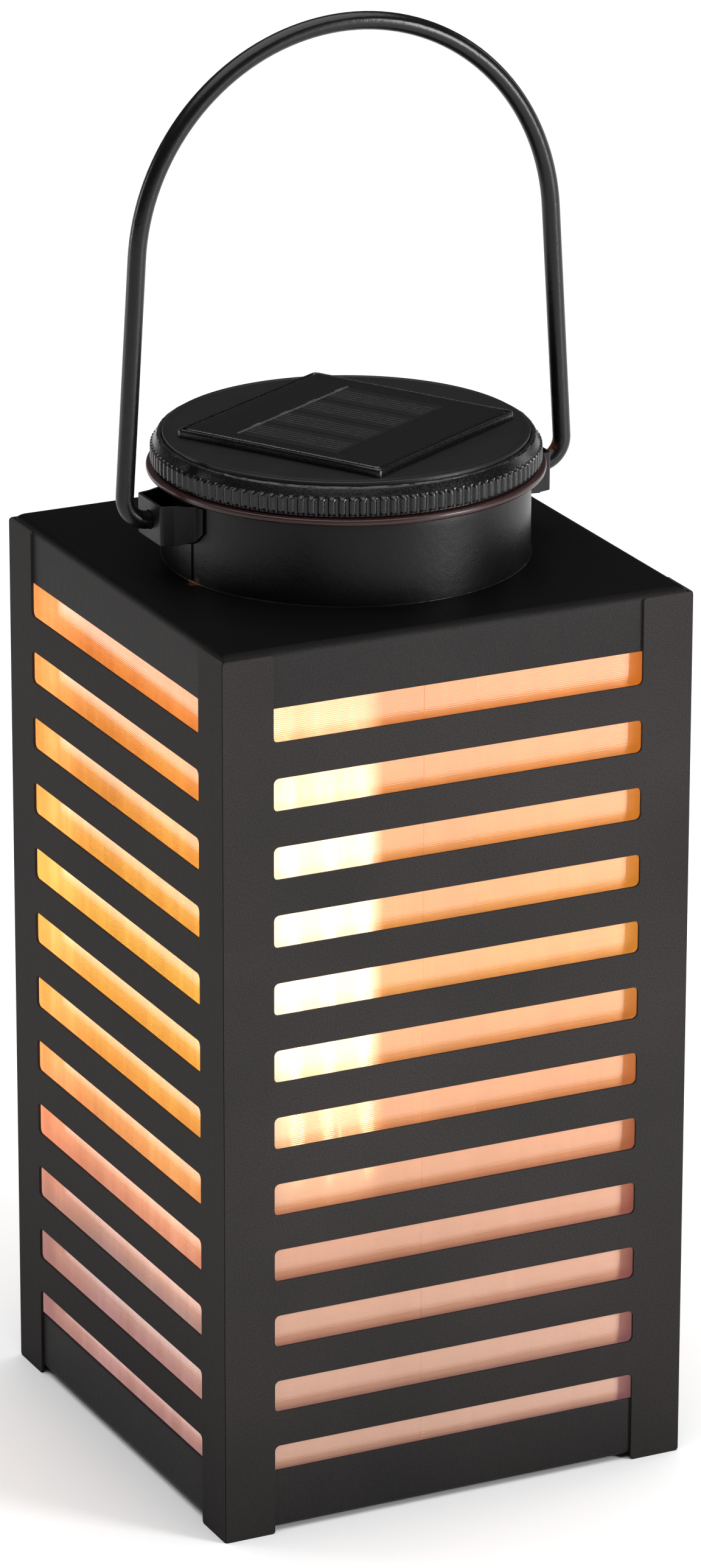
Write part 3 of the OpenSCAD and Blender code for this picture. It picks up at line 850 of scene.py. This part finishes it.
def handle():
    """Bent wire: pin, foot bend, leg, arch, the same down the other side, and a head on each pin."""
    r = 2.5 * MM
    arch_r = 62 * MM
    foot_r = 6.9 * MM
    leg_x = WIRE[1].x - r
    arch_z = WIRE[1].z - r - arch_r
    foot = Vector((leg_x - foot_r, PIVOT_Z + foot_r))
    gap = foot - Vector((0, arch_z))
    lean = math.atan2(gap.y, gap.x) + math.acos((arch_r - foot_r) / gap.length)
    head, head_r = 2.4 * MM, 3.45 * MM
    tip = EAR[1].x - SHEET - head - MM
    side = [(tip, PIVOT_Z)]
    side += [(foot.x + foot_r * math.cos(a), foot.y + foot_r * math.sin(a))
             for a in np.linspace(-TURN / 4, lean, 12)]
    end = Vector((arch_r * math.cos(lean), arch_z + arch_r * math.sin(lean)))
    start = Vector(side[-1])
    side += [tuple(start.lerp(end, k / 6)) for k in range(1, 6)]
    arch = [(arch_r * math.cos(a), arch_z + arch_r * math.sin(a))
            for a in np.linspace(lean, math.pi - lean, 73)]
    path = side + arch + [(-x, z) for x, z in reversed(side)]
    pieces = [tube("handle_wire", [(x, 0, z) for x, z in path], r, 32)]
    bulge = [0.72, 0.93, 1.0, 1.0, 0.93, 0.72]
    for s in (-1, 1):
        x0, x1 = sorted((s * tip, s * (tip + head)))
        pts = [(x0 + (x1 - x0) * k / 5, 0, PIVOT_Z) for k in range(6)]
        pieces.append(tube("head", pts, head_r, 24, bulge))
    return joined("handle_wire", pieces)


rest_on(handle(), "handle", black_wire, ["handle"])


# ---------------------------------------------------------------- lamp unit and lid

def opened(obj, boxes):
    """The object with square openings through it. boxes are (low corner, high corner)."""
    for (x0, y0, z0), (x1, y1, z1) in boxes:
        loops = [[(x0, y0, z), (x1, y0, z), (x1, y1, z), (x0, y1, z)] for z in (z0, z1)]
        cut_away(obj, stack("cutter", loops, capped=True))
    obj.data.set_sharp_from_angle(angle=SHARP)
    return obj


def cup():
    """Smoky cup with its resting flange, the switch's slot and the opening over the battery door."""
    r = COLLAR_R - SHEET - 0.3 * MM
    wall = 2 * MM
    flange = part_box("lamp_cup")[1].x
    z0, z1 = CUP[0].z, CUP[1].z
    rim = COLLAR[1].z
    top = rim + 1.8 * MM
    outline = [(r - wall, z0 + wall), (r - wall, z1), (r, z1), (r, top), (flange, top),
               (flange, rim), (r, rim), (r, z0), (2.5 * MM, z0), (2.5 * MM, z0 + wall)]
    radii = [0.8, 0.3, 0.3, 0.2, 0.6, 0.6, 0.2, 0.8, 0.1, 0.1]
    body = lathe("clear_cup", fillet(outline, [x * MM for x in radii], 3), 192)
    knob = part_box("switch_knob")
    travel, end_gap, side_gap = 4 * MM, 0.5 * MM, 0.4 * MM
    low, high = z0 - wall, z0 + 2 * wall
    slot = ((knob[0].x - travel - end_gap, knob[0].y - side_gap, low),
            (knob[1].x + end_gap, knob[1].y + side_gap, high))
    door_y = mid("battery_door").y
    reach, breadth = 24 * MM, 6 * MM
    hatch = ((-reach, door_y - breadth, low), (reach, door_y + breadth, high))
    return opened(body, [slot, hatch])


def knurled_ring():
    """Ring with a row of round-ended ribs, a grained shoulder and a step for the disc."""
    ribs = 120
    depth = 0.75 * MM
    rib_share, roundness = 0.68, 2.6
    low_r = RING[1].x - depth
    z0 = RING[0].z
    rib0, rib1 = z0 + 0.55 * MM, z0 + 5.5 * MM
    bore = COLLAR_R - SHEET
    lip_z = RING[1].z
    ledge = CUP[1].z + 0.4 * MM
    shoulder = [(low_r, z0 + 0.2 * MM), (low_r, rib0)]
    shoulder += [(low_r, rib0 + (rib1 - rib0) * k / 12) for k in range(1, 13)]
    shoulder += [(low_r - 0.1 * MM, rib1 + 0.25 * MM), (low_r - 0.5 * MM, rib1 + 0.7 * MM),
                 (low_r - 1.0 * MM, lip_z - 0.35 * MM), (low_r - 1.35 * MM, lip_z - 0.02 * MM),
                 (low_r - 1.75 * MM, lip_z), (low_r - 1.85 * MM, lip_z - 0.1 * MM)]
    inside = [(low_r - 1.85 * MM, ledge + 1.3 * MM), (45.6 * MM, ledge + 1.2 * MM),
              (45.4 * MM, ledge), (bore, ledge), (bore, z0)]
    profile = shoulder + inside

    def rib(r, z, a):
        if not (rib0 - 1e-6 < z < rib1 + 1e-6) or r < low_r - 1e-6:
            return r, z
        across = abs((a * ribs / TURN + 0.5) % 1 - 0.5) * 2
        side = max(0.0, 1 - (across / rib_share) ** roundness)
        up = abs(z - (rib0 + rib1) / 2) / ((rib1 - rib0) / 2)
        end = max(0.0, 1 - up ** 10)
        return r + depth * side ** 0.5 * end ** 0.5, z

    return lathe("knurled_ring", profile, ribs * 12, rib, sharp=math.radians(50))


def seat_loop(half, radius, z):
    """A square loop turned to the seat's angle."""
    c, s = math.cos(SEAT_TURN), math.sin(SEAT_TURN)
    return [(x * c - y * s, x * s + y * c, z) for x, y, _ in square_loop(half, radius, z, 8, 6)]


SEAT_HALF = 66.5 * MM / 2
FACE_Z = BOARD[0].z


def disc():
    """Flat disc with a rounded edge, a shallow groove inside it and a small hole for the leads."""
    r = DISC[1].x
    z0 = DISC[0].z
    hole = 3 * MM
    face = FACE_Z - 0.05 * MM
    rings = [(hole, z0), (r - 0.3 * MM, z0), (r, z0 + 0.3 * MM), (r, FACE_Z - 0.55 * MM),
             (r - 0.14 * MM, FACE_Z - 0.2 * MM), (r - 0.5 * MM, FACE_Z),
             (r - 1.2 * MM, FACE_Z - 0.02 * MM), (r - 1.5 * MM, FACE_Z - 0.22 * MM),
             (r - 1.9 * MM, FACE_Z - 0.24 * MM), (r - 2.3 * MM, FACE_Z - 0.08 * MM),
             (r - 3.2 * MM, face), (r - 10 * MM, face), (hole, face)]
    return lathe("lid_disc", rings)


def seat():
    """Raised square rim round the panel, with a rounded top and a narrow inner ledge."""
    top = DISC[1].z
    h = SEAT_HALF
    z0 = FACE_Z - 0.3 * MM
    steps = [(h - 0.05 * MM, z0), (h - 0.1 * MM, top - 0.8 * MM), (h - 0.22 * MM, top - 0.3 * MM),
             (h - 0.5 * MM, top - 0.03 * MM), (h - 0.85 * MM, top),
             (h - 1.05 * MM, top - 0.12 * MM), (h - 1.15 * MM, top - 0.6 * MM),
             (h - 1.2 * MM, top - 1.1 * MM), (h - 1.5 * MM, top - 1.15 * MM),
             (h - 1.5 * MM, z0)]
    loops = [seat_loop(x, 1.4 * MM, z) for x, z in steps]
    return stack("panel_seat", loops, closed=True)


def coat():
    """Cast resin pillow: a rounded shoulder that rises into a slight crown."""
    half = SEAT_HALF - 1.55 * MM
    z0 = BOARD[1].z
    top = COAT[1].z
    low = top - 0.95 * MM
    shoulder, bulge, crown = 0.85 * MM, 0.6 * MM, 0.33 * MM
    loops = [seat_loop(half, 1 * MM, z0), seat_loop(half, 1 * MM, low)]
    for k in range(1, 9):
        a = TURN / 4 * k / 8
        loops.append(seat_loop(half - shoulder * (1 - math.cos(a)), 1 * MM + 0.5 * MM * k / 8,
                               low + bulge * math.sin(a)))
    inner = half - shoulder
    for k in range(1, 22):
        t = k / 22
        rise = 1 - (1 - t) ** 2.6
        loops.append(seat_loop(inner * (1 - t) ** 1.15 + 0.15 * MM, 1.5 * MM * (1 - t) + 0.15 * MM,
                               low + bulge + crown * rise))
    return stack("resin_coat", loops, capped=True, sharp=math.radians(60))


def seat_frame(u, v, z):
    """A point given along and across the panel."""
    c, s = math.cos(SEAT_TURN), math.sin(SEAT_TURN)
    return (u * c - v * s, u * s + v * c, z)


def slab(name, boxes):
    """Thin boxes on the panel, each (u0, u1, v0, v1, z0, z1)."""
    verts, faces = [], []
    for u0, u1, v0, v1, z0, z1 in boxes:
        n = len(verts)
        for z in (z0, z1):
            verts += [seat_frame(u0, v0, z), seat_frame(u1, v0, z),
                      seat_frame(u1, v1, z), seat_frame(u0, v1, z)]
        faces += [(n, n + 1, n + 2, n + 3), (n + 4, n + 5, n + 6, n + 7)]
        faces += [(n + k, n + (k + 1) % 4, n + 4 + (k + 1) % 4, n + 4 + k) for k in range(4)]
    return mesh_object(name, verts, faces)


CELL_PITCH = 13.3 * MM
CELL_W = 12.4 * MM
CELL_U = 1.5 * MM
CELL_V = (-13.5 * MM, 19.5 * MM)
CELL_TOP = BOARD[1].z + 0.3 * MM


def cell_middle(i):
    return CELL_U + (i - 1.5) * CELL_PITCH


def cells():
    rows = []
    for i in range(4):
        u = cell_middle(i)
        rows.append((u - CELL_W / 2, u + CELL_W / 2, *CELL_V, BOARD[1].z, CELL_TOP))
    return slab("cell_strips", rows)


def grid_lines():
    """Fine fingers in groups of five, and a broken bus bar along one side."""
    lines = []
    z0, z1 = CELL_TOP, CELL_TOP + 0.04 * MM
    bus = CELL_V[1] - 1.2 * MM
    thin = 0.09 * MM
    for i in range(4):
        u = cell_middle(i)
        for k in range(5):
            x = u + (k - 2) * 1.5 * MM
            lines.append((x - thin, x + thin, CELL_V[0] + 1 * MM, bus + 0.2 * MM, z0, z1))
        for start, end, wide in ((-6.3, 1.5, 0.4), (1.5, 5.2, 0.62), (5.2, 7.0, 0.4)):
            lines.append((u + start * MM, u + end * MM, bus, bus + 2 * wide * MM, z0,
                          z1 + 0.02 * MM))
    return slab("grid_lines", lines)


def glue_bead():
    """Uneven bead of sealant between the disc and the ring."""
    r = (DISC[1].x + RING[1].x - 2.6 * MM) / 2 + 0.35 * MM
    z = DISC[0].z + 0.75 * MM
    section = [(0.66 * math.cos(TURN * k / 10), 0.4 * math.sin(TURN * k / 10)) for k in range(10)]

    def wander(x, y, a):
        p = Vector((math.cos(a) * 7, math.sin(a) * 7, 0))
        fine = noise.noise(p * 6 + Vector((x * 900, y * 900, 0)))
        swell = 1 + 0.35 * noise.noise(p * 2.2) + 0.2 * fine
        return r + x * swell * MM, z + y * swell * MM

    return lathe("glue_bead", section, 540, wander)


rest_on(cup(), "lamp_unit", clear_cup, ["lamp_cup"])
rest_on(knurled_ring(), "lid", black_grip, ["screw_ring"])
rest_on(disc(), "lid", black_disc, ["cap_disc"])
rest_on(seat(), "lid", black_grip, ())
rest_on(glue_bead(), "lid", sealant, ["disc_sealant"])
rest_on(coat(), "lid", clear_coat, ["solar_coat"])
solar_cell = plastic("solar_cell", (0.005, 0.0052, 0.007), 0.3, 260, 0.02 * MM)
silver_line = metal("silver_line", (0.62, 0.6, 0.55), 0.4)
rest_on(cells(), "lid", solar_cell, ["solar_cells"])
rest_on(grid_lines(), "lid", silver_line, ["solar_grid"])


# ---------------------------------------------------------------- bulb

CAGE_R = 11.5 * MM
CAGE_BARS = [math.radians(4 + 60 * i) for i in range(6)]
CAGE_LEAN = math.radians(5)
BULB = Matrix.Translation((mid("bulb_glass").x, mid("bulb_glass").y, 0))


def on_bulb(obj):
    """Move a piece made about the vertical axis to the bulb's own axis."""
    obj.data.transform(BULB)
    return obj


def glass_tube():
    """Thin glass: outside from the neck down to the round end, then back up inside."""
    r = (GLASS[1].x - GLASS[0].x) / 2
    wall = 0.8 * MM
    low = GLASS[0].z + r
    neck_r = 11.9 * MM
    neck_z = GLASS[1].z
    tube_z = neck_z - 14 * MM

    def side(inset):
        rr = r - inset
        pts = [(max(rr * math.sin(a), 1e-6), low - rr * math.cos(a))
               for a in np.linspace(0.02, TURN / 4, 14)]
        pts += [(rr, low + (tube_z - low) * k / 6) for k in range(1, 7)]
        for k in range(1, 9):
            t = k / 8
            ease = t * t * (3 - 2 * t)
            pts.append((rr + (neck_r - inset - rr) * ease, tube_z + 9 * MM * t))
        pts.append((neck_r - inset, neck_z))
        return pts

    profile = side(0) + side(wall)[::-1]
    return lathe("bulb_tube", profile, 96, sharp=math.radians(60))


def bar_end(a, up):
    """The lower (up = -1) or upper (up = 1) end of the filament at angle a."""
    b = a + up * CAGE_LEAN
    return CAGE_R * math.cos(b), CAGE_R * math.sin(b), CAGE[0 if up < 0 else 1].z


def cage():
    """Straight filaments in a ring, all leaning the same way round."""
    bars = [tube("bar", [bar_end(a, -1), bar_end(a, 1)], 0.85 * MM, 12) for a in CAGE_BARS]
    return joined("filament_cage", bars)


def cage_wires():
    """A thin wire from the stem to each end of each filament."""
    stem = 1.5 * MM
    wires = []
    for a in CAGE_BARS:
        for up in (-1, 1):
            tip = bar_end(a, up)
            root = (stem * math.cos(a), stem * math.sin(a), tip[2] - MM * up)
            wires.append(tube("hook", [root, tip], 0.3 * MM, 8))
    return joined("cage_hooks", wires)


def screw_shell():
    """Brass shell with a rolled thread that climbs in one long helix."""
    r = (SHELL[1].x - SHELL[0].x) / 2
    z0, z1 = SHELL[0].z, SHELL[1].z
    pitch = 3.6 * MM
    profile = [(r - 1.2 * MM, z0), (r - 0.4 * MM, z0)]
    steps = 48
    profile += [(r - 0.4 * MM, z0 + 0.3 * MM + (z1 - 5 * MM - z0) * k / steps)
                for k in range(steps + 1)]
    profile += [(9.5 * MM, z1 - 2.6 * MM), (6 * MM, z1), (2.4 * MM, z1), (2.4 * MM, z1 - 6 * MM),
                (r - 1.4 * MM, z1 - 7 * MM)]

    def thread(rr, z, a):
        if rr < r - 0.5 * MM or z < z0 + 3 * MM or z > z1 - 5 * MM:
            return rr, z
        wave = math.cos(TURN * (z / pitch - a / TURN))
        return rr - 0.35 * MM + 0.7 * MM * (0.5 + 0.5 * wave), z

    return lathe("screw_shell", profile, 96, thread)


def socket():
    """Moulded bulb socket with a ribbed skirt."""
    r = (HOLDER[1].x - HOLDER[0].x) / 2
    z0, z1 = HOLDER[0].z, HOLDER[1].z
    outline = [(13.8, z0 / MM), (r / MM, z0 / MM), (r / MM, z1 / MM), (2.5, z1 / MM),
               (2.5, z1 / MM - 4), (13.8, z1 / MM - 4)]
    rounded = [(p.x * MM, p.y * MM) for p in fillet(outline, [0.4, 1.2, 0.3, 0.2, 0.2, 0.6], 3)]

    def flutes(rr, z, a):
        if rr < r - 0.2 * MM or z > z1 - 4 * MM:
            return rr, z
        return rr - 0.35 * MM * max(0.0, math.cos(a * 36)) ** 2, z

    return lathe("bulb_socket", rounded, 288, flutes)


steel_wire = metal("steel_wire", (0.6, 0.6, 0.6), 0.3)
brass_shell = metal("brass_shell", (0.78, 0.58, 0.28), 0.28)
white_holder = plastic("white_holder", (0.7, 0.69, 0.65), 0.45, 900, 0.04 * MM)
rest_on(on_bulb(glass_tube()), "lamp_unit", bulb_glass, ["bulb_glass"])
rest_on(on_bulb(cage()), "lamp_unit", filament, ["filaments"])
rest_on(on_bulb(cage_wires()), "lamp_unit", steel_wire, ["filament_wires"])
rest_on(on_bulb(screw_shell()), "lamp_unit", brass_shell, ["bulb_cap"])
rest_on(on_bulb(socket()), "lamp_unit", white_holder, ["bulb_holder"])


# ---------------------------------------------------------------- CAD nodes that stay

def paint(node, material, bevel=0.0):
    """Give a CAD node its material, and soften its edges where it has room."""
    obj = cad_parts[node]
    obj.data.materials.clear()
    obj.data.materials.append(material)
    if bevel:
        soften(obj, bevel, 40)


steel = metal("contact_steel", (0.68, 0.68, 0.68), 0.3)
lead = plastic("lead_red", (0.4, 0.02, 0.02), 0.35, 700, 0.03 * MM)
black_door = plastic("black_door", (0.025, 0.025, 0.025), 0.5, 1400, 0.1 * MM)
paint("lid_seal", plastic("seal_rubber", (0.02, 0.02, 0.02), 0.7, 900, 0.05 * MM))
paint("solar_board", plastic("solar_board", (0.006, 0.006, 0.0065), 0.35, 800, 0.02 * MM))
paint("panel_leads", lead)
paint("bulb_leads", lead)
paint("filament_stem", clear_plastic("stem_glass", (0.95, 0.95, 0.92), 0.03, 0.95))
paint("battery", plastic("battery_wrap", (0.03, 0.2, 0.07), 0.3, 300, 0.02 * MM))
paint("battery_cradle", black_door)
paint("battery_spring", steel)
paint("battery_plate", steel)
paint("battery_door", black_door, 0.3 * MM)
paint("door_screws", metal("screw_steel", (0.6, 0.6, 0.58), 0.32), 0.1 * MM)
paint("circuit_board", plastic("board_green", (0.01, 0.1, 0.04), 0.35, 500, 0.03 * MM))
paint("board_parts", plastic("board_black", (0.02, 0.02, 0.02), 0.4, 900, 0.03 * MM), 0.15 * MM)
paint("switch_body", metal("switch_case", (0.65, 0.65, 0.68), 0.35))
paint("switch_knob", plastic("knob_white", (0.75, 0.75, 0.72), 0.4, 900, 0.03 * MM), 0.25 * MM)


# ---------------------------------------------------------------- stage, lights and camera

def floor():
    """A pale floor, wide enough to fill the picture."""
    mat, tree, bsdf = new_material("pale_floor")
    cloud = grain(tree, 3, 3.0)
    feed(tree, bsdf, {"Base Color": ramp(tree, cloud, greys([(0.3, 0.84), (0.7, 0.87)])),
                      "Roughness": 0.8})
    bpy.ops.mesh.primitive_plane_add(size=160, location=(0, 0, 0))
    plane = bpy.context.active_object
    plane.name = "studio_floor"
    plane.data.materials.append(mat)


def area_light(name, place, aim, size, power):
    """A rectangular light at place that shines at aim."""
    data = bpy.data.lights.new(name, "AREA")
    data.shape = "RECTANGLE"
    data.size, data.size_y = size
    data.energy = power
    obj = bpy.data.objects.new(name, data)
    obj.location = place
    obj.rotation_euler = (Vector(aim) - Vector(place)).to_track_quat("-Z", "Y").to_euler()
    bpy.context.scene.collection.objects.link(obj)


def studio():
    """A dim white room: a wide soft sun above, a strong light right of the front, two weak ones."""
    world = bpy.data.worlds.new("studio")
    world.use_nodes = True
    world.node_tree.nodes["Background"].inputs["Color"].default_value = (1, 1, 1, 1)
    world.node_tree.nodes["Background"].inputs["Strength"].default_value = 0.07
    bpy.context.scene.world = world
    sun = bpy.data.lights.new("ceiling", "SUN")
    sun.energy = 3.6
    sun.angle = math.radians(80)
    top = bpy.data.objects.new("ceiling", sun)
    bpy.context.scene.collection.objects.link(top)
    centre = (0, 0, 0.2)
    area_light("front_right", (1.2, -1.5, 0.55), centre, (0.45, 1.0), 38)
    area_light("back_left", (-1.6, 1.15, 0.5), centre, (0.35, 1.0), 8)
    area_light("side_right", (2.0, 0.5, 0.7), centre, (0.4, 1.2), 3)


def camera():
    """The photograph's view: a long lens, about 26 degrees left of the front and 20 above."""
    azimuth, elevation, roll = math.radians(-25.94), math.radians(19.78), math.radians(0.1)
    distance = 2.032
    aim = Vector((0.0015, 0, 0.1865))
    ahead = Vector((-math.sin(azimuth) * math.cos(elevation),
                    math.cos(azimuth) * math.cos(elevation), -math.sin(elevation)))
    data = bpy.data.cameras.new("photo_view")
    data.lens = 168.9
    data.sensor_width = 36
    obj = bpy.data.objects.new("photo_view", data)
    turn = ahead.to_track_quat("-Z", "Y").to_matrix() @ Matrix.Rotation(roll, 3, "Z")
    obj.matrix_world = Matrix.Translation(aim - ahead * distance) @ turn.to_4x4()
    bpy.context.scene.collection.objects.link(obj)
    bpy.context.scene.camera = obj


floor()
studio()
camera()
bpy.context.scene.view_settings.view_transform = "Standard"
